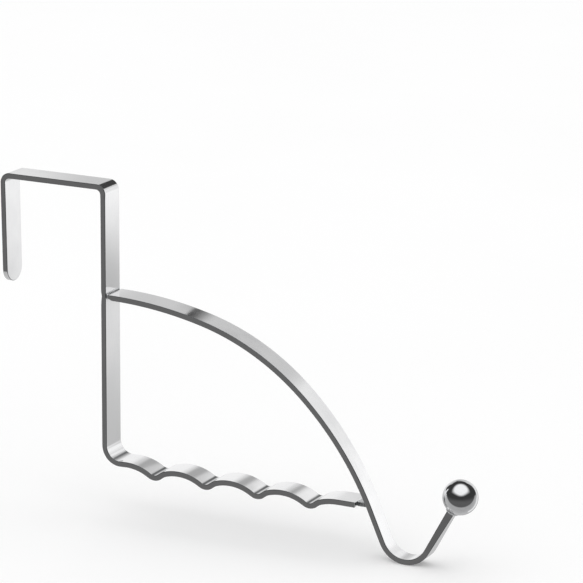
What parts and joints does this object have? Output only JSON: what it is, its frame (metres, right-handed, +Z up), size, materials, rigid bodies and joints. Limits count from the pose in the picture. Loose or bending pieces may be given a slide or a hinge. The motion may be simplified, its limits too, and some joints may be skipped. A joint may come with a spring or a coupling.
{
  "type": "over-door hanger",
  "caption": "Chromed flat-strip hanger that hooks over a door, with an upright, a rail with dips for bag handles and an arched strut that ends in an upturned ball hook.",
  "frame": {"origin": "middle of the bridge's underside, the face that rests on the door's top edge", "axes": "+X from the door out to the ball, Y across the strip's width, +Z up"},
  "size_m": [0.2185, 0.0146, 0.1435],
  "materials": {
    "chromed_strip": "bright polished chrome plate on flat steel strip",
    "chromed_ball": "mirror polished chrome plate",
    "plated_weld": "weld metal plated with the rest, a little rippled"
  },
  "bodies": {
    "root": {"door_strip": "chromed_strip", "hook_strip": "chromed_strip", "ball_end": "chromed_ball", "upper_weld": "plated_weld", "rail_end_weld": "plated_weld", "ball_weld": "plated_weld"}
  },
  "joints": []
}
